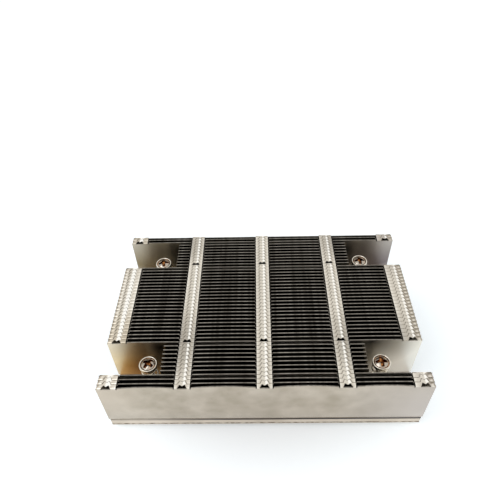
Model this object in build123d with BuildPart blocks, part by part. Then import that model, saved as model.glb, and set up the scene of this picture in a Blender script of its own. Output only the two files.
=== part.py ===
"""Passive heatsink for a server processor, with sprung captive screws.

Forty-five folded sheet fins stand in a row on a plate, in three stacks. Short flanges
on top of each fin close into five strips. Two blocks of short fins leave four corner
notches, where the screws stand.

X runs along the fins, Y from the front fin to the rear one, Z up. The origin is the
centre of the plate's contact face. All sizes are in millimetres.
"""

import os
from math import cos, pi, sin

from build123d import *

# Fins
fin_length = 127.0
fin_height = 24.0
fin_thickness = 0.4
foot_bend = 0.25
fin_pitch = 1.88
flange_gap = 0.06
front_fins = 4
front_short_fins = 7
middle_fins = 23
rear_short_fins = 8
rear_fins = 3

# Flange strips on top of the fins
strip_spacing = 31.0
inner_strip_width = 5.8
end_strip_width = 7.6
notch_mouth_width = 3.7
notch_end_width = 2.0
notch_depth = 1.65
notch_point_length = 0.75

# Base plate
base_thickness = 4.6
base_edge_chamfer = 0.2

# Screws, in the pattern of a narrow server socket
screw_spacing_x = 94.0
screw_spacing_y = 56.0
thread_radius = 2.0
shank_radius = 1.5
screw_hole_clearance = 0.3
screw_side_gap = 3.25
tip_reach = 2.6
head_radius = 3.65
head_underside = 22.6
head_rim_height = 1.7
head_crown_radius = 2.6
head_crown_height = 0.7
recess_length = 4.4
recess_width = 1.1
recess_depth = 1.5

# Retaining rings, each in a round pocket of the plate's underside
ring_radius = 3.6
ring_thickness = 0.6
ring_mouth_width = 2.4
ring_running_clearance = 0.05
ring_pocket_radius = 4.1
ring_pocket_depth = 1.0

# Springs
spring_radius = 2.95
spring_wire = 0.7
spring_turns = 5
spring_flats_per_turn = 6

# Worked out from the sizes above
short_fin_length = screw_spacing_x - 2 * (head_radius + screw_side_gap)
fin_count = front_fins + front_short_fins + middle_fins + rear_short_fins + rear_fins
base_depth = (fin_count - 1) * fin_pitch + fin_thickness
fin_top = base_thickness + fin_height
inner_strips = [(place * strip_spacing, inner_strip_width) for place in (-1, 0, 1)]
end_strip_centre = (fin_length - end_strip_width) / 2
end_strips = [(side * end_strip_centre, end_strip_width) for side in (-1, 1)]
corners = {
    "front_left": (-screw_spacing_x / 2, -screw_spacing_y / 2),
    "front_right": (screw_spacing_x / 2, -screw_spacing_y / 2),
    "rear_left": (-screw_spacing_x / 2, screw_spacing_y / 2),
    "rear_right": (screw_spacing_x / 2, screw_spacing_y / 2),
}
recess_turns = {"front_left": 57.0, "front_right": 3.0, "rear_left": 12.0, "rear_right": 5.0}


def save(part, name):
    """Label a finished piece and write it under the same name."""
    part.label = name
    export_step(part, f"parts/{name}.step")


def notch_plan(centre, front):
    """Corners of a flange's notch from above: a trapezoid with a point left in its end."""
    end = front + notch_depth
    return [
        (centre - notch_mouth_width / 2, front),
        (centre - notch_end_width / 2, end),
        (centre, end - notch_point_length),
        (centre + notch_end_width / 2, end),
        (centre + notch_mouth_width / 2, front),
    ]


def add_fin(name, index, length, strips, notched):
    """A fin is one folded sheet: an upright wall, a foot to the rear and top flanges.

    strips lists the centre and width of each flange, and notched those whose notch at
    the bend is open. A notch that the fin in front fills level is drawn closed.
    """
    front = index * fin_pitch - base_depth / 2
    reach = fin_pitch - flange_gap
    with BuildPart() as fin:
        with BuildSketch(Plane.YZ.offset(-length / 2)):
            with Locations((front, base_thickness)):
                Rectangle(fin_thickness, fin_height, align=(Align.MIN, Align.MIN))
                if strips:
                    Rectangle(reach, fin_thickness, align=(Align.MIN, Align.MIN))
        extrude(amount=length)
        if strips:
            chamfer(fin.edges().filter_by(Axis.X).group_by(Axis.Z)[0].sort_by(Axis.Y)[0], length=foot_bend)
            with BuildSketch(Plane.XY.offset(fin_top)):
                for centre, width in strips:
                    with Locations((centre, front)):
                        Rectangle(width, reach, align=(Align.CENTER, Align.MIN))
            extrude(amount=-fin_thickness)
        if notched:
            with BuildSketch(Plane.XY.offset(fin_top)):
                for centre, width in notched:
                    with BuildLine():
                        Polyline(*notch_plan(centre, front), close=True)
                    make_face()
            extrude(amount=-fin_thickness, mode=Mode.SUBTRACT)
    save(fin.part, name)


def add_fins():
    """All the fins from front to rear, in three stacks of which each is locked together.

    A fin has end flanges where the next fin is full as well, so that none hangs over a
    corner notch. The fin in front fills the notches of the flanges that it has too.
    """
    stacks = [
        [("front_fin_{}", front_fins, True), ("front_short_fin_{}", front_short_fins, False)],
        [("middle_fin_{:02d}", middle_fins, True)],
        [("rear_short_fin_{}", rear_short_fins, False), ("rear_fin_{}", rear_fins, True)],
    ]
    fins = [
        (name.format(number + 1), full, stack_number)
        for stack_number, stack in enumerate(stacks)
        for name, count, full in stack
        for number in range(count)
    ]
    strips_in_front = []
    stack_in_front = 0
    for index, (name, full, stack_number) in enumerate(fins):
        is_last = index == fin_count - 1
        full_behind = not is_last and fins[index + 1][1]
        strips = [] if is_last else inner_strips + end_strips * (full and full_behind)
        if stack_number != stack_in_front:
            strips_in_front = []
        notched = [strip for strip in strips if strip not in strips_in_front]
        add_fin(name, index, fin_length if full else short_fin_length, strips, notched)
        strips_in_front = strips
        stack_in_front = stack_number


def add_base_plate():
    """The plate under the fins, with a hole for each screw and a pocket for its ring."""
    with BuildPart() as base_plate:
        Box(fin_length, base_depth, base_thickness, align=(Align.CENTER, Align.CENTER, Align.MIN))
        chamfer(base_plate.edges().group_by(Axis.Z)[0], length=base_edge_chamfer)
        with BuildSketch(Plane.XY):
            with GridLocations(screw_spacing_x, screw_spacing_y, 2, 2):
                Circle(thread_radius + screw_hole_clearance)
        extrude(amount=base_thickness, mode=Mode.SUBTRACT)
        with BuildSketch(Plane.XY):
            with GridLocations(screw_spacing_x, screw_spacing_y, 2, 2):
                Circle(ring_pocket_radius)
        extrude(amount=ring_pocket_depth, mode=Mode.SUBTRACT)
    save(base_plate.part, "base_plate")


def add_screw(corner, place, turn):
    """A turned screw: crowned head with a cross recess, thin shank and wider thread."""
    rim_top = head_underside + head_rim_height
    head_top = rim_top + head_crown_height
    thread_top = ring_pocket_depth - ring_thickness - ring_running_clearance
    profile = [
        (0, head_top),
        (0, -tip_reach),
        (thread_radius, -tip_reach),
        (thread_radius, thread_top),
        (shank_radius, thread_top),
        (shank_radius, head_underside),
        (head_radius, head_underside),
        (head_radius, rim_top),
        (head_crown_radius, head_top),
    ]
    angle = turn * pi / 180
    recess_plane = Plane((*place, head_top), x_dir=(cos(angle), sin(angle), 0))
    with BuildPart() as screw:
        with BuildSketch(Plane((*place, 0), x_dir=(1, 0, 0), z_dir=(0, -1, 0))):
            with BuildLine():
                Polyline(*profile, close=True)
            make_face()
        revolve(axis=Axis((*place, 0), (0, 0, 1)))
        with BuildSketch(recess_plane):
            Rectangle(recess_length, recess_width)
            Rectangle(recess_width, recess_length)
        extrude(amount=-recess_depth, mode=Mode.SUBTRACT)
    save(screw.part, f"screw_{corner}")


def add_spring(corner, place):
    """A compression spring between the plate and the screw head, its ends ground flat."""
    spring_height = head_underside - base_thickness
    steps = spring_turns * spring_flats_per_turn
    turn_step = 2 * pi / spring_flats_per_turn
    path_points = [
        (
            place[0] + spring_radius * cos(turn_step * step),
            place[1] + spring_radius * sin(turn_step * step),
            base_thickness + spring_height * step / steps,
        )
        for step in range(steps + 1)
    ]
    with BuildPart() as spring:
        with BuildLine() as path:
            Polyline(*path_points)
        with BuildSketch(Plane(path.line @ 0, z_dir=path.line % 0)):
            Rectangle(spring_wire, spring_wire)
        sweep(path=path.line, transition=Transition.RIGHT)
        with Locations((*place, base_thickness)):
            Box(
                4 * spring_radius,
                4 * spring_radius,
                spring_height,
                align=(Align.CENTER, Align.CENTER, Align.MIN),
                mode=Mode.INTERSECT,
            )
    save(spring.part, f"spring_{corner}")


def add_retaining_ring(corner, place):
    """An open ring, pushed on the shank from one side, that the thread keeps on the screw."""
    with BuildPart() as ring:
        with BuildSketch(Plane.XY.offset(ring_pocket_depth - ring_thickness)):
            with Locations(place):
                Circle(ring_radius)
                Circle(shank_radius + ring_running_clearance, mode=Mode.SUBTRACT)
                with Locations((0, -ring_radius)):
                    Rectangle(ring_mouth_width, 2 * ring_radius, mode=Mode.SUBTRACT)
        extrude(amount=ring_thickness)
    save(ring.part, f"retaining_ring_{corner}")


os.makedirs("parts", exist_ok=True)
add_base_plate()
add_fins()
for corner, place in corners.items():
    add_screw(corner, place, recess_turns[corner])
    add_spring(corner, place)
    add_retaining_ring(corner, place)
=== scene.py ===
"""Looks of a passive server heatsink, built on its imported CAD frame.

Sizes are in millimetres here and become metres when a mesh is made. X runs along the
fins, Y from the front fin to the rear one, and Z up from the contact face.
"""

from math import cos, pi, radians, sin, tau
from typing import NamedTuple

import bmesh
import bpy
import numpy as np
from bpy.props import FloatProperty, IntProperty, PointerProperty
from mathutils import Matrix, Vector


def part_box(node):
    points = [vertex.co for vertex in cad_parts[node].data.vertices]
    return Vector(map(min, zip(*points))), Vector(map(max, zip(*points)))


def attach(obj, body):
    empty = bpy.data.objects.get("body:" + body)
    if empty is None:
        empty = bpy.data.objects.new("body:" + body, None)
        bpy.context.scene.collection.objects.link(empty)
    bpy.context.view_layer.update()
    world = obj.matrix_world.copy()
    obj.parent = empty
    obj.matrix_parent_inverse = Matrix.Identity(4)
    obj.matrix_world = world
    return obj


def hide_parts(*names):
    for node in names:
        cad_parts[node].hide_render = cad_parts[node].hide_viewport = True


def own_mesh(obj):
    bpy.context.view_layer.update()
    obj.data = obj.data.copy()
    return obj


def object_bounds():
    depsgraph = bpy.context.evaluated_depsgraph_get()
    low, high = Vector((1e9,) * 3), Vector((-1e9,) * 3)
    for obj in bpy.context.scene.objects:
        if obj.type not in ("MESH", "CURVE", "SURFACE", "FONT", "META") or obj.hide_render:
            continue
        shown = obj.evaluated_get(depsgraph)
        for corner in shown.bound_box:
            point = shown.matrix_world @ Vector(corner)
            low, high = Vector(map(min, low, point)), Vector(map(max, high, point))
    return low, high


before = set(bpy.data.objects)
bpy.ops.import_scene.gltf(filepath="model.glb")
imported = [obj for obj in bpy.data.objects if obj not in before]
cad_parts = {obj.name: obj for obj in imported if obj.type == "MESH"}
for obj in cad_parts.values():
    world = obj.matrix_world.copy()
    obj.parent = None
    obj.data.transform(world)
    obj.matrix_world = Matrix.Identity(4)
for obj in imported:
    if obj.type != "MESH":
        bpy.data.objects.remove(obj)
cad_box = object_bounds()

bl_info = {
    "name": "Server heatsink looks",
    "version": (1, 0, 0),
    "blender": (4, 5, 0),
    "location": "View3D > Sidebar > Heatsink",
    "description": "Folded fins, captive screws and springs of a passive server heatsink",
    "category": "Add Mesh",
}

MM = 0.001
TINY = 1e-6
HEATSINK = "heatsink"
CORNERS = ("front_left", "front_right", "rear_left", "rear_right")
OPEN_WALLS = ("front_fin_4", "middle_fin_01", "middle_fin_23", "rear_fin_1")
FRONT_FIN = "front_fin_1"
END_WALLS = (FRONT_FIN, "rear_fin_3")

# Sheet sizes of the fins, in mm, as in the part's source
FIN_PITCH = 1.88
FLANGE_GAP = 0.06
STRIP_SPACING = 31.0
INNER_STRIP_WIDTH = 5.8
END_STRIP_WIDTH = 7.6
NOTCH_MOUTH_WIDTH = 3.7
NOTCH_END_WIDTH = 2.0
NOTCH_DEPTH = 1.65
NOTCH_POINT_LENGTH = 0.75

# Rows of points up a wall, as shares of its height, and out along a tongue, in mm
WALL_ROWS = (0.3, 0.6)
TONGUE_ROWS = (0.15, 0.4)

# Columns of points across a strip, with its edges at -2 and 2 and its lock's at -1 and 1
STRIP_SHARES = (-2.0, -1.5, -1.0, -0.66, -0.33, 0.0, 0.33, 0.66, 1.0, 1.5, 2.0)

# Width in mm of the step in a wall beside a flange that covers it
STEP_WIDTH = 0.05

# Shares of the full corner cut where a flange's bend ends and beside its notch's end
BEND_CUT = 0.5
NOTCH_END_CUT = 0.6

# How bright the sheet is painted: painted shade, none, a painted sheen and a painted highlight
SHADED_LEVEL = -0.5
DULL = 0.0
SHEEN_LEVEL = 0.5
HIGHLIGHT_LEVEL = 1.0

# Painted light and shade on the flanges at each share of their width, on the end strips'
# outer side and elsewhere, and the painted shade in the joints between them
FLANGE_GLOWS = {0.0: 0.3, 1.0: 0.2, 1.5: 0.3, 2.0: 0.5}
OUTER_GLOWS = {0.0: 0.3, 1.0: 0.1, 1.5: 0.45, 2.0: -0.2}
EDGE_GLOW = -0.4

# Shares of a strip's width between which it carries a painted highlight, in the left strip and
# elsewhere
LEFT_HIGHLIGHT_SHARES = (-0.1, 1.1)
HIGHLIGHT_SHARES = (0.2, 0.9)

# Share of a strip's width beyond which its flanges' rear edges carry painted shade on the outer
# side
LEFT_EDGE_SHADE_FROM = 1.5
EDGE_SHADE_FROM = 1.0

# Inward step of the base plate's ends from those of the fins, the zone of the points
# that it moves, and the distance at which doubled points merge, in mm
PLATE_STEP = 0.5
PLATE_END_ZONE = 1.0
MERGE_DISTANCE = 0.0001

# Turn of each screw's cross, in degrees, and how far its head leans along X, in mm
RECESS_TURNS = {"front_left": 57.0, "front_right": 3.0, "rear_left": 12.0, "rear_right": 5.0}
HEAD_LEANS = {"front_left": 0.6, "front_right": -0.5, "rear_left": -0.35, "rear_right": -0.55}

# Shape of the cross recess toward its ends, and how fast its painted shade grows with its depth
WING_TAPER = 0.3
WING_RISE = 0.45
RECESS_SHADE = 2.0

# Point counts round a screw's rim and along each turn of its thread, and its tip, in mm
UPPER_RIM_POINTS = 7
LOWER_RIM_POINTS = 4
THREAD_ROWS = 8
TIP_LENGTH = 0.5
TIP_CHAMFER = 0.6

# Point counts along each turn of a spring and round its wire
SPRING_TURN_POINTS = 40
WIRE_POINTS = 12

# Heights in mm between which marks fade in: scuffs on the flanges, the painted shade along
# the seam under the fins, the plate's top with its painted reflections and shade, and both
# sides of the patchy brown line near its lower edge
SCUFF_HEIGHTS = (28.2, 28.45)
SEAM_HEIGHTS = (3.4, 3.7)
PLATE_TOP_HEIGHTS = (4.5, 4.58)
LOWER_LINE_LOW_HEIGHTS = (0.3, 0.7)
LOWER_LINE_HIGH_HEIGHTS = (1.6, 1.1)

# Share of the scuffs, and of the seam's painted shade at the left, with where that shade fades
# along X
SCUFF_SHARE = 0.6
SEAM_LEFT_SHARE = 0.3
SEAM_FADE = (-55, -15)

# Painted reflections and shade on the walls of the corner notches and on the plate's top there:
# warm, pale and grey painted reflections, and dark painted shade deep inside: place and reach in
# mm, colour
NOTCH_REFLECTIONS_AND_SHADE = (
    ((-57, -21, 12), 25.0, "#dcc088"),
    ((-53, -26, 5), 15.0, "#866340"),
    ((56, -30, 5), 24.0, "#f4f2ee"),
    ((-62, 37, 14), 30.0, "#8c7d60"),
    ((62, 37, 14), 30.0, "#8b8182"),
    ((-42, -21, 25), 23.0, "#1d1811"),
    ((44, -21, 29), 20.0, "#2a2826"),
    ((-40, 37, 22), 17.0, "#26211c"),
    ((40, 37, 22), 17.0, "#262121"),
)

# Painted reflections near the ends of the front wall, in the same way
WALL_END_REFLECTIONS = (
    ((62, -42, 14), 35.0, "#bbb2aa"),
    ((-64, -42, 25), 18.0, "#c6b9a8"),
)

# Camera place and axes, fitted to the corners of the fin pack in the photo, in mm
CAMERA_PLACE = (-1.46, -136.37, 192.94)
CAMERA_FORWARD = (-0.0181, 0.715, -0.6989)
CAMERA_RIGHT = (0.9997, 0.0033, -0.0226)
CAMERA_LENS = 35.373
CAMERA_SENSOR = 36.0
CAMERA_NEAR = 0.01

# Half width of the floor and the key light's place and size, in mm, with its power
FLOOR_SPAN = 1500.0
KEY_PLACE = (-250, -150, 420)
KEY_SIZE = (300, 300)
KEY_POWER = 0.5


# Meshes


def make_object(name, points, faces, smooth_angle=35.0):
    """A mesh object from an (n, 3) array of points in mm and a list of face arrays.

    Each array of faces takes its own material, by its place in the list.
    """
    mesh = bpy.data.meshes.new(name)
    corners = [face for group in faces for face in group.tolist()]
    mesh.from_pydata((points * MM).tolist(), [], corners)
    slots = np.repeat(np.arange(len(faces)), [len(group) for group in faces])
    mesh.polygons.foreach_set("material_index", slots)
    mesh.polygons.foreach_set("use_smooth", np.ones(len(mesh.polygons), dtype=bool))
    mesh.set_sharp_from_angle(angle=radians(smooth_angle))
    mesh.update()
    piece = bpy.data.objects.new(name, mesh)
    bpy.context.scene.collection.objects.link(piece)
    return piece


def paint(piece, name, values):
    """Store a value at each point of a piece, under a name that its material reads."""
    attribute = piece.data.attributes.new(name, "FLOAT", "POINT")
    attribute.data.foreach_set("value", values)


def grid_faces(numbers):
    """Quads between neighbours in a (columns, rows) array of point numbers."""
    corners = [numbers[:-1, :-1], numbers[1:, :-1], numbers[1:, 1:], numbers[:-1, 1:]]
    return np.stack(corners, axis=-1).reshape(-1, 4)


def closed_faces(columns, rows):
    """Quads of a (columns, rows) grid that closes on itself round its columns."""
    numbers = np.arange(columns * rows).reshape(columns, rows)
    return grid_faces(np.concatenate([numbers, numbers[:1]]))


def sheet_faces(kept):
    """Faces of a closed sheet whose two sides are grids, cut to the cells that are kept.

    kept is a mask of the cells. A rim quad closes each edge of a kept cell that has no
    kept neighbour. Gives the numbers of the points in use, the side faces and the rim.
    """
    columns, rows = kept.shape[0] + 1, kept.shape[1] + 1
    front = np.arange(columns * rows).reshape(columns, rows)
    back = front + columns * rows
    padded = np.pad(kept, 1)
    centre = padded[1:-1, 1:-1]
    sides = [
        (padded[:-2, 1:-1], front[:-1, :-1], front[:-1, 1:], back[:-1, 1:], back[:-1, :-1]),
        (padded[2:, 1:-1], front[1:, 1:], front[1:, :-1], back[1:, :-1], back[1:, 1:]),
        (padded[1:-1, :-2], front[1:, :-1], front[:-1, :-1], back[:-1, :-1], back[1:, :-1]),
        (padded[1:-1, 2:], front[:-1, 1:], front[1:, 1:], back[1:, 1:], back[:-1, 1:]),
    ]
    faces = [grid_faces(front)[kept.ravel()], grid_faces(back)[kept.ravel()][:, ::-1]]
    for neighbour, *corners in sides:
        open_edge = centre & ~neighbour
        faces.append(np.stack([corner[open_edge] for corner in corners], axis=-1))
    side_count = len(faces[0]) + len(faces[1])
    used, faces = np.unique(np.concatenate(faces), return_inverse=True)
    faces = faces.reshape(-1, 4)
    return used, faces[:side_count], faces[side_count:]


# Material nodes


def linear(hex_colour):
    """An sRGB colour such as "#c0b8a8" as linear red, green, blue and alpha."""
    parts = [int(hex_colour[place : place + 2], 16) / 255 for place in (1, 3, 5)]
    values = [
        part / 12.92 if part <= 0.04045 else ((part + 0.055) / 1.055) ** 2.4 for part in parts
    ]
    return (*values, 1.0)


def add_node(owner, kind, settings=None, inputs=None):
    """Add a node to a material or world, set its properties, and set or link its inputs."""
    tree = owner.node_tree
    node = tree.nodes.new(kind)
    for key, value in (settings or {}).items():
        setattr(node, key, value)
    for key, value in (inputs or {}).items():
        if isinstance(value, bpy.types.NodeSocket):
            tree.links.new(value, node.inputs[key])
        else:
            node.inputs[key].default_value = value
    return node


def new_material(name):
    """An empty node material and its object coordinates."""
    material = bpy.data.materials.new(name)
    material.use_nodes = True
    material.node_tree.nodes.clear()
    coordinates = add_node(material, "ShaderNodeTexCoord").outputs["Object"]
    return material, coordinates


def painted(material, name):
    """The value that paint stored under a name."""
    return add_node(material, "ShaderNodeAttribute", {"attribute_name": name}).outputs["Fac"]


def noise(material, coordinates, grain, stretch=(1, 1, 1), detail=3.0):
    """Noise with grains of the given size in mm, stretched along the axes."""
    scale = tuple(1 / (grain * MM * part) for part in stretch)
    mapping = add_node(
        material, "ShaderNodeMapping", inputs={"Vector": coordinates, "Scale": scale}
    )
    settings = {"noise_dimensions": "3D"}
    inputs = {"Vector": mapping.outputs["Vector"], "Scale": 1.0, "Detail": detail}
    return add_node(material, "ShaderNodeTexNoise", settings, inputs).outputs["Fac"]


def fit_range(owner, value, low, high, start=0.3, end=0.7):
    """Map a value from start..end to low..high. The usual start and end suit noise."""
    inputs = {"Value": value, "From Min": start, "From Max": end, "To Min": low, "To Max": high}
    return add_node(owner, "ShaderNodeMapRange", inputs=inputs).outputs["Result"]


def ramp(material, place, span):
    """0 at the first place of a span in mm and 1 at the second."""
    return fit_range(material, place, 0.0, 1.0, start=span[0] * MM, end=span[1] * MM)


def multiply(material, first, second):
    """The product of two values."""
    inputs = {0: first, 1: second}
    return add_node(material, "ShaderNodeMath", {"operation": "MULTIPLY"}, inputs).outputs["Value"]


def mix_colours(material, share, first, second):
    """Mix two colours, each a socket or a hex colour, by a share from 0 to 1."""
    first, second = [
        linear(colour) if isinstance(colour, str) else colour for colour in (first, second)
    ]
    inputs = {0: share, 6: first, 7: second}
    return add_node(material, "ShaderNodeMix", {"data_type": "RGBA"}, inputs).outputs[2]


def noise_colour(material, value, first, second, start=0.3, end=0.7):
    """A colour that goes from the first to the second as a noise value rises."""
    share = fit_range(material, value, 0.0, 1.0, start, end)
    return mix_colours(material, share, first, second)


def tint_colour(material, coordinates, colour, tints):
    """Tint a colour round each tint's place, full at the place and gone at its reach."""
    for place, reach, tint in tints:
        inputs = {0: coordinates, 1: tuple(part * MM for part in place)}
        distance = add_node(material, "ShaderNodeVectorMath", {"operation": "DISTANCE"}, inputs)
        share = ramp(material, distance.outputs["Value"], (reach, 0.0))
        colour = mix_colours(material, share, colour, tint)
    return colour


def bump(material, height, distance, normal=None):
    """A bump of the given height in mm."""
    inputs = {"Height": height, "Distance": distance * MM, "Strength": 1.0}
    if normal is not None:
        inputs["Normal"] = normal
    return add_node(material, "ShaderNodeBump", inputs=inputs).outputs["Normal"]


def finish_metal(material, colour, roughness, normal):
    """Close a material with a metal surface."""
    inputs = {"Metallic": 1.0, "Base Color": colour, "Roughness": roughness, "Normal": normal}
    surface = add_node(material, "ShaderNodeBsdfPrincipled", inputs=inputs)
    add_node(material, "ShaderNodeOutputMaterial", inputs={"Surface": surface.outputs["BSDF"]})
    return material


def seen_by_eye(owner):
    """1 for camera, glossy and transmission rays, else 0."""
    rays = add_node(owner, "ShaderNodeLightPath").outputs
    total = rays["Is Camera Ray"]
    for name in ("Is Glossy Ray", "Is Transmission Ray"):
        inputs = {0: total, 1: rays[name]}
        total = add_node(owner, "ShaderNodeMath", {"operation": "MAXIMUM"}, inputs).outputs["Value"]
    return total


# Finishes


def sheet_metal():
    """Rolled sheet: faint waves, cloudy mottling, fine pits and scuffs, with painted shade, sheen,
    reflections and highlights.
    """
    material, coordinates = new_material("rolled_sheet")
    clouds = noise(material, coordinates, 9.0, detail=4.0)
    colour = noise_colour(material, clouds, "#c5baab", "#aa9f8e")
    # Painted reflections near the ends of the front wall
    colour = tint_colour(material, coordinates, colour, WALL_END_REFLECTIONS)
    bright = painted(material, "bright")
    # Painted shade on the walls between the fins
    fin_gap_shade = fit_range(material, bright, 1.0, 0.0, start=SHADED_LEVEL, end=DULL)
    colour = mix_colours(material, fin_gap_shade, colour, "#6f6a60")
    scuffs = noise(material, coordinates, 0.4, detail=4.0)
    height = add_node(material, "ShaderNodeSeparateXYZ", inputs={"Vector": coordinates})
    scuffed = multiply(
        material,
        ramp(material, height.outputs["Z"], SCUFF_HEIGHTS),
        fit_range(material, scuffs, 0.0, SCUFF_SHARE, start=0.45, end=0.62),
    )
    colour = mix_colours(material, scuffed, colour, "#8d8570")
    # A pale painted sheen on the open walls and flanges, with the painted reflections and shade of
    # the notches
    sheen_colour = tint_colour(material, coordinates, "#ece6d9", NOTCH_REFLECTIONS_AND_SHADE)
    sheen_share = fit_range(material, bright, 0.0, 1.0, start=DULL, end=SHEEN_LEVEL)
    colour = mix_colours(material, sheen_share, colour, sheen_colour)
    # Painted white highlights on the tongues
    highlight_share = fit_range(material, bright, 0.0, 1.0, start=SHEEN_LEVEL, end=HIGHLIGHT_LEVEL)
    colour = mix_colours(material, highlight_share, colour, "#fffcf4")
    roughness = fit_range(material, bright, 0.2, 0.34, start=DULL, end=SHEEN_LEVEL)
    waves = noise(material, coordinates, 14.0, stretch=(1.6, 1, 1), detail=1.0)
    pits = noise(material, coordinates, 0.45, stretch=(1.3, 1, 1), detail=2.0)
    rippled = bump(material, waves, 0.1)
    return finish_metal(material, colour, roughness, bump(material, pits, 0.008, rippled))


def plated_metal():
    """Dull plating with a fine milled grain, painted shade along the seam under the fins, and a
    patchy brown line near its lower edge.

    The plate's top, which shows in the corner notches, is painted darker, with the painted
    reflections and shade of the notches.
    """
    material, coordinates = new_material("dull_plating")
    clouds = noise(material, coordinates, 12.0, detail=4.0)
    colour = noise_colour(material, clouds, "#ded2c3", "#c9bcab")
    place = add_node(material, "ShaderNodeSeparateXYZ", inputs={"Vector": coordinates}).outputs
    # Painted shade along the seam under the fins, lighter at the left
    left, right = SEAM_FADE
    fade = fit_range(material, place["X"], SEAM_LEFT_SHARE, 1.0, left * MM, right * MM)
    seam_shade = multiply(material, ramp(material, place["Z"], SEAM_HEIGHTS), fade)
    colour = mix_colours(material, seam_shade, colour, "#2c2426")
    # The plate's top painted darker, with the painted reflections and shade of the notches
    top = tint_colour(material, coordinates, "#a8a092", NOTCH_REFLECTIONS_AND_SHADE)
    colour = mix_colours(material, ramp(material, place["Z"], PLATE_TOP_HEIGHTS), colour, top)
    # A patchy brown line near the plate's lower edge
    line = multiply(
        material,
        ramp(material, place["Z"], LOWER_LINE_LOW_HEIGHTS),
        ramp(material, place["Z"], LOWER_LINE_HIGH_HEIGHTS),
    )
    lower_line_noise = noise(material, coordinates, 0.8, stretch=(2.5, 1, 1), detail=4.0)
    lower_line_patches = multiply(material, line, fit_range(material, lower_line_noise, 0.25, 1.0, start=0.42, end=0.58))
    colour = mix_colours(material, lower_line_patches, colour, "#5f4f3c")
    grain = noise(material, coordinates, 0.4, stretch=(12, 1, 1), detail=2.0)
    roughness = fit_range(material, grain, 0.3, 0.42)
    return finish_metal(material, colour, roughness, bump(material, grain, 0.01))


def screw_metal():
    """Polished plating with handling marks, and painted shade with painted orange glints where it
    is painted.
    """
    material, coordinates = new_material("polished_plating")
    marks = noise(material, coordinates, 0.8, detail=4.0)
    colour = noise_colour(material, marks, "#e2dccf", "#cfc5b4")
    # Painted shade, dark brown with painted orange glints, mixed in where it is painted
    spots = noise(material, coordinates, 1.1, detail=2.0)
    shade_with_glints = noise_colour(material, spots, "#2e180f", "#a8713f", start=0.46, end=0.64)
    colour = mix_colours(material, painted(material, "painted_shade"), colour, shade_with_glints)
    roughness = fit_range(material, marks, 0.1, 0.2)
    return finish_metal(material, colour, roughness, bump(material, marks, 0.01))


def marked_metal(name, grain, colours, roughness, depth, stretch=(1, 1, 1)):
    """Metal whose colour, roughness and bump follow marks with the given grain in mm."""
    material, coordinates = new_material(name)
    marks = noise(material, coordinates, grain, stretch)
    colour = noise_colour(material, marks, *colours)
    roughness = fit_range(material, marks, *roughness)
    return finish_metal(material, colour, roughness, bump(material, marks, depth))


def sheared_edge():
    """The dull cut edge of the sheet."""
    colours = ("#9f998f", "#69645b")
    return marked_metal("sheared_edge", 1.6, colours, (0.35, 0.5), 0.01, (1, 30, 30))


def spring_metal():
    """Drawn spring wire."""
    return marked_metal("drawn_wire", 0.5, ("#f2eadb", "#ddd0b9"), (0.18, 0.3), 0.006)


def ring_metal():
    """Darkened stamped steel."""
    return marked_metal("darkened_steel", 0.6, ("#77757a", "#5c5a5f"), (0.3, 0.45), 0.01)


def floor_material(settings):
    """Diffuse white card with a bluish glow of its own, dimmer near the part as a painted shadow.
    """
    material, coordinates = new_material("white_card")
    distance = add_node(material, "ShaderNodeVectorMath", {"operation": "LENGTH"}, {0: coordinates})
    start = settings.shadow_reach * MM
    end = start * settings.shadow_fade
    # The floor's glow is dimmer near the part: a painted shadow
    lifts = (settings.shadow_lift, settings.far_lift)
    lift = fit_range(material, distance.outputs["Value"], *lifts, start, end)
    strength = multiply(material, lift, seen_by_eye(material))
    card = add_node(material, "ShaderNodeBsdfDiffuse", inputs={"Color": linear("#f2f2f2")})
    inputs = {"Color": linear("#eefaff"), "Strength": strength}
    glow = add_node(material, "ShaderNodeEmission", inputs=inputs)
    inputs = {0: card.outputs["BSDF"], 1: glow.outputs["Emission"]}
    both = add_node(material, "ShaderNodeAddShader", inputs=inputs)
    add_node(material, "ShaderNodeOutputMaterial", inputs={"Surface": both.outputs["Shader"]})
    return material


# Fins


class Fin(NamedTuple):
    """A fin's node, the corners of its CAD box in mm, and its strips.

    A strip is tongued where the next fin has it too. Otherwise it is a covering strip,
    whose flange lies over the top of the next fin's wall, and there it is a covered one.
    """

    node: str
    low: np.ndarray
    high: np.ndarray
    strips: list
    tongued: list
    covering: list
    covered: list


def fin_plan():
    """Every fin in order, read from the frame. The last one has no flanges."""
    nodes = [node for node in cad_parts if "fin" in node]
    boxes = {node: np.array([list(corner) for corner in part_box(node)]) / MM for node in nodes}
    nodes.sort(key=lambda node: boxes[node][0][1])
    plate_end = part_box("base_plate")[1].x / MM
    end_place = plate_end - END_STRIP_WIDTH / 2
    inner_strips = [(place * STRIP_SPACING, INNER_STRIP_WIDTH) for place in (-1, 0, 1)]
    end_strips = [(-end_place, END_STRIP_WIDTH), (end_place, END_STRIP_WIDTH)]
    full = [boxes[node][1][0] > plate_end - 1 for node in nodes]
    stacks = [node.split("_")[0] for node in nodes]
    strips = [
        inner_strips + end_strips * (full[number] and full[number + 1])
        for number in range(len(nodes) - 1)
    ] + [[]]
    plan = []
    for number, node in enumerate(nodes):
        own = strips[number]
        before, after = [
            strips[other] if 0 <= other < len(nodes) and stacks[other] == stacks[number] else None
            for other in (number - 1, number + 1)
        ]
        tongued = [strip for strip in own if after is not None and strip in after]
        covering = [strip for strip in own if after is not None and strip not in after]
        covered = [strip for strip in (before or []) if own and strip not in own]
        plan.append(Fin(node, *boxes[node], own, tongued, covering, covered))
    return plan


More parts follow.
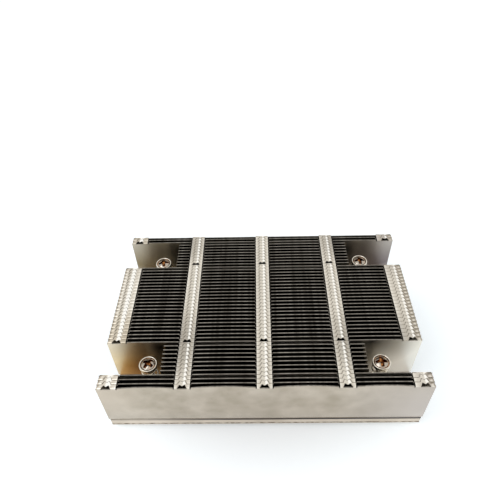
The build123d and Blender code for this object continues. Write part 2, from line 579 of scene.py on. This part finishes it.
def fin_rows(height, settings):
    """Rows along a fin's sheet, from the foot's rear edge to the tip of the tongue.

    Each row has a name, a place (y, z) on the outer side and an outward direction in Y
    and Z, for a fin whose front is at y = 0 and whose foot lies on z = 0.
    """
    radius = settings.bend_radius
    reach = FIN_PITCH - FLANGE_GAP
    bend = [step * pi / 2 / settings.bend_steps for step in range(settings.bend_steps + 1)]
    rows = [("foot", (reach, 0), (0, -1))]
    for angle in bend:
        place = (radius * (1 - sin(angle)), radius * (1 - cos(angle)))
        rows.append(("foot", place, (-sin(angle), -cos(angle))))
    for share in WALL_ROWS:
        rows.append(("wall", (0, height * share), (-1, 0)))
    rows.append(("slot", (0, height - settings.slot_depth), (-1, 0)))
    rows.append(("sill", (0, height - settings.sill_depth), (-1, 0)))
    for angle in bend:
        place = (radius * (1 - cos(angle)), height - radius * (1 - sin(angle)))
        rows.append(("bend", place, (-cos(angle), sin(angle))))
    edge_row, tongue_row = TONGUE_ROWS
    rows.append(("notch_end", (NOTCH_DEPTH, height), (0, 1)))
    rows.append(("edge", (reach, height), (0, 1)))
    rows.append(("edge", (FIN_PITCH + edge_row, height), (0, 1)))
    rows.append(("tongue", (FIN_PITCH + tongue_row, height), (0, 1)))
    rows.append(("tip", (FIN_PITCH + NOTCH_DEPTH - settings.lock_gap, height), (0, 1)))
    return rows


def last_fin_rows(height):
    """Rows of the last fin, which is a plain wall of the given height."""
    rows = [("wall", (0, 0), (-1, 0)), ("slot", (0, height / 2), (-1, 0))]
    return rows + [(name, (0, height), (-1, 0)) for name in ("sill", "notch_end", "edge")]


def fin_columns(length, strips, covered, settings):
    """Columns across a fin as (kind, strip, place) from left to right.

    A strip's columns have the shares of STRIP_SHARES as their places, and a plain column
    has its own x. One beside a strip names that strip too. Two more make the step of the
    wall beside a flange that covers it.
    """
    columns = []
    for strip in sorted(strips):
        centre, width = strip
        left = centre - width / 2 - settings.slot_width
        right = centre + width / 2 + settings.slot_width
        if left > -length / 2:
            columns.append(("plain", strip, left))
        columns += [("strip", strip, share) for share in STRIP_SHARES]
        if right < length / 2:
            columns.append(("plain", strip, right))
    if not columns or columns[0][0] == "plain":
        columns.insert(0, ("plain", None, -length / 2))
    if columns[-1][0] == "plain":
        columns.append(("plain", None, length / 2))
    if not strips:
        return columns
    spaced = []
    for before, column in zip([None] + columns, columns):
        if before and before[0] == column[0] == "plain":
            places = np.linspace(before[2], column[2], settings.span_steps + 1)[1:-1]
            spaced += [("plain", None, float(place)) for place in places]
        spaced.append(column)
    for centre, width in covered:
        inward = -np.sign(centre)
        place = centre + inward * (width / 2 + settings.slot_width)
        for x in sorted((place, place + inward * STEP_WIDTH)):
            beyond = [column[0] == "plain" and column[2] > x for column in spaced]
            spaced.insert(beyond.index(True), ("plain", None, x))
    return spaced


def bulge(columns, number):
    """Share of the full bow at a plain column: none beside a strip, most half way.

    With t from -1 to 1 along the span, it is (1 - t ** 2) * (span / full_span) ** 2.
    """
    x = columns[number][2]
    ends = [column[2] for column in columns if column[0] == "plain" and column[1] is not None]
    left = max((end for end in ends if end <= x + TINY), default=x)
    right = min((end for end in ends if end >= x - TINY), default=x)
    if columns[number][1] is not None or right - left < TINY:
        return 0.0
    share = 1 - ((2 * x - left - right) / (right - left)) ** 2
    return share * ((right - left) / (STRIP_SPACING - INNER_STRIP_WIDTH)) ** 2


def plain_point(fin, columns, number, row, height, settings):
    """A point and its outward direction on the wall beside the strips.

    The wall is drawn back by bow * bulge * (z / height) ** 2. It ends at the fin's height,
    or under a flange that covers it.
    """
    x = columns[number][2]
    name, (y, z), direction = row
    bow = settings.front_bow if fin.node == FRONT_FIN else settings.bow
    y += bow * bulge(columns, number) * (z / height) ** 2
    if name == "sill":
        reaches = [(centre, width / 2 + settings.slot_width) for centre, width in fin.covered]
        under = any(abs(x - centre) <= reach for centre, reach in reaches)
        z = height - under * (settings.thickness + FLANGE_GAP)
    return (x, y, z), direction


def lock_half_width(row_name, y, settings):
    """Half the width of the notch on the front rows, and of the tongue on the rear ones."""
    mouth, end = NOTCH_MOUTH_WIDTH / 2, NOTCH_END_WIDTH / 2
    if row_name in ("edge", "tongue", "tip"):
        share = max(0.0, (y - FIN_PITCH) / NOTCH_DEPTH)
        return mouth + (end - mouth) * share - settings.lock_gap
    share = max(0.0, y / NOTCH_DEPTH) if row_name in ("bend", "notch_end") else 0.0
    return mouth + (end - mouth) * share


def corner_cut(row_name, y, settings):
    """How far the end flanges' outer corners are cut back in a row, in mm."""
    bend_share = BEND_CUT * y / settings.bend_radius
    shares = {"bend": bend_share, "notch_end": NOTCH_END_CUT, "edge": 1.0}
    return settings.corner_cut * shares.get(row_name, 0.0)


def strip_point(fin, column, row, settings):
    """A point and its outward direction on a strip, as fin_surface says."""
    _, strip, value = column
    name, (y, z), direction = row
    centre, width = strip
    half = lock_half_width(name, y, settings)
    if name == "edge" and strip in fin.covering:
        y += settings.thickness + FLANGE_GAP
    edge = width / 2
    if width == END_STRIP_WIDTH and value * centre > 0:
        edge -= corner_cut(name, y, settings)
    share = abs(value)
    reach = half * share if share <= 1 else half + (edge - half) * (share - 1)
    x = centre + np.copysign(reach, value)
    if name in ("notch_end", "tip"):
        y -= NOTCH_POINT_LENGTH * max(0.0, 1 - share)
    if name in ("notch_end", "edge", "tongue", "tip"):
        z -= settings.crown * min(share, 2 - share)
    return (x, y, z), direction


def fin_surface(fin, columns, rows, height, settings):
    """Outer and inner points of a fin's sheet on its grid of columns and rows.

    On a strip, x = centre + share * half for |share| <= 1, where half is the half width
    of the notch or tongue in that row, and x then runs on evenly to the strip's edge.
    The end of the notch and the tip of the tongue are drawn forward by
    point_length * (1 - |share|). The flange falls by crown * min(|share|, 2 - |share|).
    """
    outer = np.zeros((len(columns), len(rows), 3))
    outward = np.zeros_like(outer)
    for j, column in enumerate(columns):
        for k, row in enumerate(rows):
            if column[0] == "plain":
                point, direction = plain_point(fin, columns, j, row, height, settings)
            else:
                point, direction = strip_point(fin, column, row, settings)
            outer[j, k] = point
            outward[j, k] = (0, *direction)
    return outer, outer - outward * settings.thickness


def fin_cells(columns, rows, tongued):
    """Which cells of a fin's grid are sheet.

    Plain columns end at the top of the wall, slots divide them from the strips, the
    notches are cut out of the bends, and only the tongues run on past the edges.
    """
    kept = np.ones((len(columns) - 1, len(rows) - 1), dtype=bool)
    names = [row[0] for row in rows]
    slot, sill = names.index("slot"), names.index("sill")
    notch_end, edge = names.index("notch_end"), names.index("edge")
    for j, (left, right) in enumerate(zip(columns, columns[1:])):
        kinds = {left[0], right[0]}
        if kinds == {"plain"}:
            kept[j, sill:] = False
        elif kinds == {"plain", "strip"}:
            kept[j, slot:] = False
        elif max(abs(left[2]), abs(right[2])) > 1:
            kept[j, edge:] = False
        else:
            kept[j, sill:notch_end] = False
            if left[1] not in tongued:
                kept[j, edge:] = False
    return kept


def bright_share(column, row_name, node):
    """How bright the sheet is painted at a point, from painted shade to a painted highlight.

    The walls between fins carry painted shade, and those that stand open in the corner
    notches a painted sheen. The right half of each tongue carries a painted highlight, most
    of all in the left strip. The flanges carry painted light and shade across their width,
    and painted shade at their rear edges.
    """
    kind, strip, share = column
    if row_name in ("foot", "wall", "slot", "sill"):
        if node in OPEN_WALLS:
            return SHEEN_LEVEL
        return DULL if node in END_WALLS else SHADED_LEVEL
    if kind == "plain":
        return DULL
    at_end = strip[1] == END_STRIP_WIDTH
    in_left_strip = at_end and strip[0] < 0
    highlight_from, highlight_to = LEFT_HIGHLIGHT_SHARES if in_left_strip else HIGHLIGHT_SHARES
    highlight_rows = ("edge", "tongue", "tip") + ("notch_end",) * in_left_strip
    # Painted highlight on the right half of each tongue
    if row_name in highlight_rows and highlight_from < share < highlight_to:
        return HIGHLIGHT_LEVEL
    outer_side = at_end and share * strip[0] > 0
    edge_shade_from = LEFT_EDGE_SHADE_FROM if in_left_strip else EDGE_SHADE_FROM
    # Painted shade at the flanges' rear edges
    if row_name == "edge" and abs(share) > 1:
        return EDGE_GLOW
    if row_name == "notch_end" and outer_side and abs(share) > edge_shade_from:
        return EDGE_GLOW
    glows = OUTER_GLOWS if outer_side else FLANGE_GLOWS
    return glows.get(abs(share), glows[0.0])


def add_fin(fin, settings, materials):
    """One fin as a folded sheet in the place of its CAD node.

    The last fin has no flanges, and those of the fin before it lie over its top.
    """
    length, _, height = fin.high - fin.low
    rows = fin_rows(height, settings)
    if not fin.strips:
        height -= settings.thickness + FLANGE_GAP
        rows = last_fin_rows(height)
    columns = fin_columns(length, fin.strips, fin.covered, settings)
    outer, inner = fin_surface(fin, columns, rows, height, settings)
    used, sides, rim = sheet_faces(fin_cells(columns, rows, fin.tongued))
    points = np.concatenate([outer.reshape(-1, 3), inner.reshape(-1, 3)])[used]
    piece = make_object(f"{fin.node}_sheet", points + (0, *fin.low[1:]), [sides, rim])
    # Painted light and shade on the sheet
    brightness = [[bright_share(column, row[0], fin.node) for row in rows] for column in columns]
    paint(piece, "bright", np.tile(np.ravel(brightness), 2)[used])
    for material in materials:
        piece.data.materials.append(material)
    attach(piece, HEATSINK)
    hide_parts(fin.node)
    return piece


# Base plate


def add_plate(material):
    """The base plate as a merged copy of its CAD node, with its ends drawn in.

    The photo shows the plate's ends a little inside those of the fins, so each point
    near an end moves inward by the same step.
    """
    mesh = bmesh.new()
    mesh.from_mesh(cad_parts["base_plate"].data)
    bmesh.ops.remove_doubles(mesh, verts=mesh.verts, dist=MERGE_DISTANCE * MM)
    points = np.array([vertex.co for vertex in mesh.verts]) / MM
    at_ends = abs(points[:, 0]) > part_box("base_plate")[1].x / MM - PLATE_END_ZONE
    points[:, 0] -= np.sign(points[:, 0]) * PLATE_STEP * at_ends
    mesh.verts.index_update()
    faces = np.array([[vertex.index for vertex in face.verts] for face in mesh.faces])
    mesh.free()
    piece = make_object("base_plate_milled", points, [faces])
    piece.data.materials.append(material)
    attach(piece, HEATSINK)
    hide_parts("base_plate")
    return piece


# Screws and springs


def recess_depth(radius, angle, settings):
    """Depth of the cross recess at a point of the head.

    Two wings cross at the middle. With a the distance along the nearer wing and b the
    distance from it, the depth is depth * inside(b) * (1 - rise * (a / reach) ** 2),
    where inside falls smoothly from 1 to 0 across the wing's side, and half the wing's
    width is width / 2 * (1 - taper * a / reach).
    """
    along = np.maximum(abs(radius * np.cos(angle)), abs(radius * np.sin(angle)))
    aside = np.minimum(abs(radius * np.cos(angle)), abs(radius * np.sin(angle)))
    half = settings.wing_width / 2 * (1 - WING_TAPER * along / settings.wing_reach)
    inside = np.clip((half - aside) / settings.wing_slope + 0.5, 0, 1)
    ends = np.clip((settings.wing_reach - along) / settings.wing_slope + 0.5, 0, 1)
    fall = np.clip(1 - WING_RISE * (along / settings.wing_reach) ** 2, 0, 1)
    return settings.wing_depth * inside * ends * fall


def screw_surface(box, turn, lean, settings):
    """A screw as one surface round its axis, from the middle of the head to the tip's end.

    The dome is z = top - dome_height * (r / dome_radius) ** 2 less the cross recess, and a
    groove parts it from the rim. The thread is
    r = outer - depth * |2 * frac(z / pitch - angle / tau) - 1|. The axis leans by
    lean * z / top.
    """
    low, high = np.array(box[0]) / MM, np.array(box[1]) / MM
    centre = (low + high) / 2
    head_radius = (high[0] - low[0]) / 2
    top, bottom = high[2], low[2]
    angles = np.arange(settings.columns) * tau / settings.columns
    rings = []
    for radius in np.linspace(0.0, settings.dome_radius, settings.dome_rings):
        z = top - settings.dome_height * (radius / settings.dome_radius) ** 2
        rings.append((radius, z - recess_depth(radius, angles - turn, settings)))
    groove = top - settings.dome_height - settings.groove_depth
    rings += [(settings.dome_radius, groove), (head_radius - settings.rim_width, groove)]
    edge = settings.rim_width / 2
    upper = [(settings.rim_top - edge, angle) for angle in np.linspace(pi, 0, UPPER_RIM_POINTS)]
    lower_angles = np.linspace(0, -pi / 2, LOWER_RIM_POINTS)
    lower = [(settings.head_underside + edge, angle) for angle in lower_angles]
    for z, angle in upper + lower:
        rings.append((head_radius - edge + edge * cos(angle), z + edge * sin(angle)))
    shank, thread = settings.shank_radius, settings.thread_radius
    rings += [(shank, settings.head_underside), (shank, settings.thread_top)]
    rings.append((thread - settings.thread_depth, settings.thread_top))
    steps = int((settings.thread_top - bottom) / settings.thread_pitch * THREAD_ROWS)
    for z in np.linspace(settings.thread_top, bottom + TIP_LENGTH, steps):
        turnings = z / settings.thread_pitch - angles / tau
        wave = abs(2 * (turnings - np.floor(turnings)) - 1)
        rings.append((thread - settings.thread_depth * wave, z))
    rings += [(thread - TIP_CHAMFER, bottom), (0.0, bottom)]
    radius = np.array([ring[0] + 0 * angles for ring in rings]).T
    z = np.array([ring[1] + 0 * angles for ring in rings]).T
    x = centre[0] + radius * np.cos(angles)[:, None] + lean * z / top
    y = centre[1] + radius * np.sin(angles)[:, None]
    return np.stack([x, y, z], axis=-1)


def screw_shade(shape, turn, settings):
    """Share of painted shade at each point of a screw: some on the dome, most in its recesses and
    its groove.
    """
    rings = settings.dome_rings
    radius = np.linspace(0.0, settings.dome_radius, rings)
    angles = np.arange(settings.columns) * tau / settings.columns - turn
    depth = recess_depth(radius, angles[:, None], settings) / settings.wing_depth
    painted_shade = np.zeros(shape)
    painted_shade[:, :rings] = np.clip(settings.dome_shade + depth * RECESS_SHADE, 0, 1)
    painted_shade[:, rings : rings + 2] = settings.groove_shade
    return painted_shade


def add_screw(corner, settings, material):
    """One screw with a domed head, cross recess and thread in the place of its CAD node."""
    node = f"screw_{corner}"
    turn = radians(RECESS_TURNS[corner])
    points = screw_surface(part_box(node), turn, HEAD_LEANS[corner], settings)
    faces = closed_faces(*points.shape[:2])[:, ::-1]
    piece = make_object(f"{node}_turned", points.reshape(-1, 3), [faces], smooth_angle=50.0)
    piece.data.materials.append(material)
    # Painted shade on the dome, in the cross recess and in the groove
    paint(piece, "painted_shade", screw_shade(points.shape[:2], turn, settings).ravel())
    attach(piece, node)
    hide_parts(node)
    return piece


def spring_surface(box, lean, settings):
    """A spring's tube round the helix x = r cos(t), y = r sin(t), with its ends ground flat.

    It leans with its screw, by lean * z / top.
    """
    low, high = np.array(box[0]) / MM, np.array(box[1]) / MM
    centre = (low + high) / 2
    wire = settings.wire / 2
    turns = settings.turns
    angles = tau * turns * np.linspace(0, 1, turns * SPRING_TURN_POINTS + 1)
    lead = np.clip(angles / tau, 0, 1) + np.clip(angles / tau - turns + 1, 0, 1)
    rise = (high[2] - low[2] - settings.wire * 2) / (turns - 2)
    z = low[2] + settings.wire * lead + rise * np.clip(angles / tau - 1, 0, turns - 2)
    round_angles = np.arange(WIRE_POINTS) * tau / WIRE_POINTS
    out = settings.coil_radius + wire * np.cos(round_angles)[:, None]
    height = np.clip(z + wire * np.sin(round_angles)[:, None], low[2], high[2])
    x = centre[0] + out * np.cos(angles) + lean * height / high[2]
    y = centre[1] + out * np.sin(angles)
    return np.stack([x, y, height], axis=-1)


def add_spring(corner, settings, material):
    """One spring as a round wire coil in the place of its CAD node."""
    node = f"spring_{corner}"
    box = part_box(node)
    points = spring_surface(box, HEAD_LEANS[corner], settings)
    faces = closed_faces(*points.shape[:2])
    piece = make_object(f"{node}_coil", points.reshape(-1, 3), [faces], smooth_angle=60.0)
    piece.data.materials.append(material)
    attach(piece, HEATSINK)
    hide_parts(node)
    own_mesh(piece)
    return piece


# Studio


def add_floor(settings):
    """A floor at the height of the screw tips."""
    height = cad_box[0][2] / MM
    corners = np.array([(-1, -1, 0), (1, -1, 0), (1, 1, 0), (-1, 1, 0)]) * FLOOR_SPAN
    floor = make_object("floor", corners + (0, 0, height), [np.array([[0, 1, 2, 3]])])
    floor.data.materials.append(floor_material(settings))
    return floor


def add_key_light():
    """A soft square light that faces the middle of the part."""
    light = bpy.data.lights.new("key", "AREA")
    light.shape = "RECTANGLE"
    light.size = KEY_SIZE[0] * MM
    light.size_y = KEY_SIZE[1] * MM
    light.energy = KEY_POWER
    light.color = linear("#f2f6ff")[:3]
    lamp = bpy.data.objects.new("key", light)
    place = Vector(KEY_PLACE) * MM
    turn = (-place).to_track_quat("-Z", "Y").to_matrix().to_4x4()
    lamp.matrix_world = Matrix.Translation(place) @ turn
    bpy.context.scene.collection.objects.link(lamp)
    return lamp


def add_world(settings):
    """A white surround, dimmer as a light than as a background."""
    world = bpy.data.worlds.new("studio")
    world.use_nodes = True
    world.node_tree.nodes.clear()
    strength = fit_range(world, seen_by_eye(world), settings.world_level, 1.0, start=0.0, end=1.0)
    inputs = {"Color": (1, 1, 1, 1), "Strength": strength}
    background = add_node(world, "ShaderNodeBackground", inputs=inputs).outputs["Background"]
    add_node(world, "ShaderNodeOutputWorld", inputs={"Surface": background})
    bpy.context.scene.world = world


def add_camera():
    """The camera at the photo's place."""
    camera = bpy.data.cameras.new("photo_camera")
    camera.lens = CAMERA_LENS
    camera.sensor_width = CAMERA_SENSOR
    camera.sensor_fit = "HORIZONTAL"
    camera.clip_start = CAMERA_NEAR
    view = bpy.data.objects.new("photo_camera", camera)
    forward = Vector(CAMERA_FORWARD).normalized()
    right = (Vector(CAMERA_RIGHT) - forward * forward.dot(Vector(CAMERA_RIGHT))).normalized()
    up = right.cross(forward)
    axes = Matrix((right, up, -forward)).transposed().to_4x4()
    view.matrix_world = Matrix.Translation(Vector(CAMERA_PLACE) * MM) @ axes
    bpy.context.scene.collection.objects.link(view)
    bpy.context.scene.camera = view


# Settings


def number_setting(name, default, description):
    """A length in mm, or a level or share."""
    return FloatProperty(name=name, default=default, description=description)


def count_setting(name, default, description):
    """A whole number."""
    return IntProperty(name=name, default=default, description=description)


class HeatsinkFinSettings(bpy.types.PropertyGroup):
    """Sizes of the fins' sheet, in mm."""

    thickness: number_setting("Thickness", 0.4, "Thickness of the sheet")
    bend_radius: number_setting("Bend radius", 0.55, "Outer radius of the bends")
    bend_steps: count_setting("Bend steps", 4, "Steps round each bend")
    slot_width: number_setting("Slot width", 0.5, "Width of the slot beside a strip")
    slot_depth: number_setting("Slot depth", 0.9, "Depth of the slot beside a strip")
    sill_depth: number_setting("Sill depth", 0.62, "Depth of a notch in the wall")
    lock_gap: number_setting("Lock gap", 0.18, "Gap between a tongue and its notch")
    crown: number_setting("Crown", 0.12, "Fall from a flange's middle to its lock's sides")
    corner_cut: number_setting("Corner cut", 0.6, "Cut at the end flanges' outer corners")
    span_steps: count_setting("Span steps", 6, "Steps along a plain span")
    bow: number_setting("Bow", 0.1, "Rearward bow of a fin's top between strips")
    front_bow: number_setting("Front bow", 0.6, "Rearward bow of the front fin's top")


class HeatsinkScrewSettings(bpy.types.PropertyGroup):
    """Sizes of the screws, in mm."""

    head_underside: number_setting("Head underside", 22.6, "Height of the head's underside")
    rim_top: number_setting("Rim top", 24.3, "Height of the rim round the dome")
    rim_width: number_setting("Rim width", 0.6, "Width of the rim")
    groove_depth: number_setting("Groove depth", 0.25, "Depth of the groove inside the rim")
    dome_radius: number_setting("Dome radius", 2.7, "Radius of the dome")
    dome_height: number_setting("Dome height", 1.0, "Height of the dome")
    dome_rings: count_setting("Dome rings", 40, "Rings of points on the dome")
    wing_width: number_setting("Wing width", 1.45, "Width of a wing of the cross recess")
    wing_reach: number_setting("Wing reach", 2.2, "Reach of a wing from the middle")
    wing_depth: number_setting("Wing depth", 1.5, "Depth of the recess at the middle")
    wing_slope: number_setting("Wing slope", 0.25, "Width of the slope at a wing's side")
    shank_radius: number_setting("Shank radius", 1.5, "Radius of the shank")
    thread_radius: number_setting("Thread radius", 2.0, "Outer radius of the thread")
    thread_depth: number_setting("Thread depth", 0.38, "Depth of the thread")
    thread_pitch: number_setting("Thread pitch", 0.7, "Pitch of the thread")
    thread_top: number_setting("Thread top", 0.35, "Height at which the thread starts")
    # Shares of painted shade on the dome and in the groove inside the rim
    dome_shade: number_setting("Dome grime", 0.42, "Share of grime on the dome")
    groove_shade: number_setting("Groove grime", 0.95, "Share of grime in the groove")
    columns: count_setting("Columns", 96, "Points round the screw")


class HeatsinkSpringSettings(bpy.types.PropertyGroup):
    """Sizes of the springs, in mm."""

    wire: number_setting("Wire", 0.7, "Thickness of the wire")
    coil_radius: number_setting("Coil radius", 2.95, "Radius of the coil's centre line")
    turns: count_setting("Turns", 5, "Turns of the coil")
    pressed_share: number_setting("Pressed share", 13.0 / 18.0, "Length left at full travel")


class HeatsinkStageSettings(bpy.types.PropertyGroup):
    """Light levels of the studio."""

    world_level: number_setting("World", 0.72, "Level of the surround as a light")
    # Glow of the floor near the part, below the far glow, which paints the shadow there
    shadow_lift: number_setting("Floor lift", 0.24, "Light given off by the floor")
    far_lift: number_setting("Far lift", 0.45, "Light given off by the floor far out")
    shadow_reach: number_setting("Shadow reach", 46.0, "Distance at which the shadow fades")
    shadow_fade: number_setting("Shadow fade", 1.6, "End of the fade as a share of its start")


# Operators


class HEATSINK_OT_fins(bpy.types.Operator):
    """Replace each fin by its folded sheet."""

    bl_idname = "heatsink.fins"
    bl_label = "Fins"

    def execute(self, context):
        materials = (sheet_metal(), sheared_edge())
        for fin in fin_plan():
            add_fin(fin, context.scene.heatsink_fins, materials)
        return {"FINISHED"}


class HEATSINK_OT_plate(bpy.types.Operator):
    """Add the base plate and give the retaining rings their finish."""

    bl_idname = "heatsink.plate"
    bl_label = "Plate and rings"

    def execute(self, context):
        add_plate(plated_metal())
        dark = ring_metal()
        for corner in CORNERS:
            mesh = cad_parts[f"retaining_ring_{corner}"].data
            mesh.materials.clear()
            mesh.materials.append(dark)
        return {"FINISHED"}


class HEATSINK_OT_screws(bpy.types.Operator):
    """Replace each screw by one with a domed head, cross recess and thread."""

    bl_idname = "heatsink.screws"
    bl_label = "Screws"

    def execute(self, context):
        material = screw_metal()
        for corner in CORNERS:
            add_screw(corner, context.scene.heatsink_screws, material)
        return {"FINISHED"}


class HEATSINK_OT_springs(bpy.types.Operator):
    """Replace each spring by a round wire coil."""

    bl_idname = "heatsink.springs"
    bl_label = "Springs"

    def execute(self, context):
        material = spring_metal()
        for corner in CORNERS:
            add_spring(corner, context.scene.heatsink_springs, material)
        return {"FINISHED"}


class HEATSINK_OT_stage(bpy.types.Operator):
    """Set the floor, lights, surround and camera."""

    bl_idname = "heatsink.stage"
    bl_label = "Stage"

    def execute(self, context):
        settings = context.scene.heatsink_stage
        add_floor(settings)
        add_world(settings)
        add_key_light()
        add_camera()
        context.scene.view_settings.view_transform = "Standard"
        return {"FINISHED"}


class HEATSINK_PT_panel(bpy.types.Panel):
    """Buttons for the heatsink's looks."""

    bl_label = "Heatsink"
    bl_idname = "HEATSINK_PT_panel"
    bl_space_type = "VIEW_3D"
    bl_region_type = "UI"
    bl_category = "Heatsink"

    def draw(self, context):
        for operator in OPERATORS:
            self.layout.operator(operator.bl_idname)


SETTINGS = {
    "heatsink_fins": HeatsinkFinSettings,
    "heatsink_screws": HeatsinkScrewSettings,
    "heatsink_springs": HeatsinkSpringSettings,
    "heatsink_stage": HeatsinkStageSettings,
}
OPERATORS = (
    HEATSINK_OT_fins,
    HEATSINK_OT_plate,
    HEATSINK_OT_screws,
    HEATSINK_OT_springs,
    HEATSINK_OT_stage,
)


def register():
    """Register the settings, operators and panel."""
    for group in (*SETTINGS.values(), *OPERATORS, HEATSINK_PT_panel):
        bpy.utils.register_class(group)
    for name, group in SETTINGS.items():
        setattr(bpy.types.Scene, name, PointerProperty(type=group))


def unregister():
    """Undo register."""
    for name in SETTINGS:
        delattr(bpy.types.Scene, name)
    for group in (HEATSINK_PT_panel, *reversed(OPERATORS), *reversed(SETTINGS.values())):
        bpy.utils.unregister_class(group)


def main():
    """Build the looks in order."""
    register()
    bpy.ops.heatsink.fins()
    bpy.ops.heatsink.plate()
    bpy.ops.heatsink.screws()
    bpy.ops.heatsink.springs()
    bpy.ops.heatsink.stage()


if __name__ == "__main__":
    main()
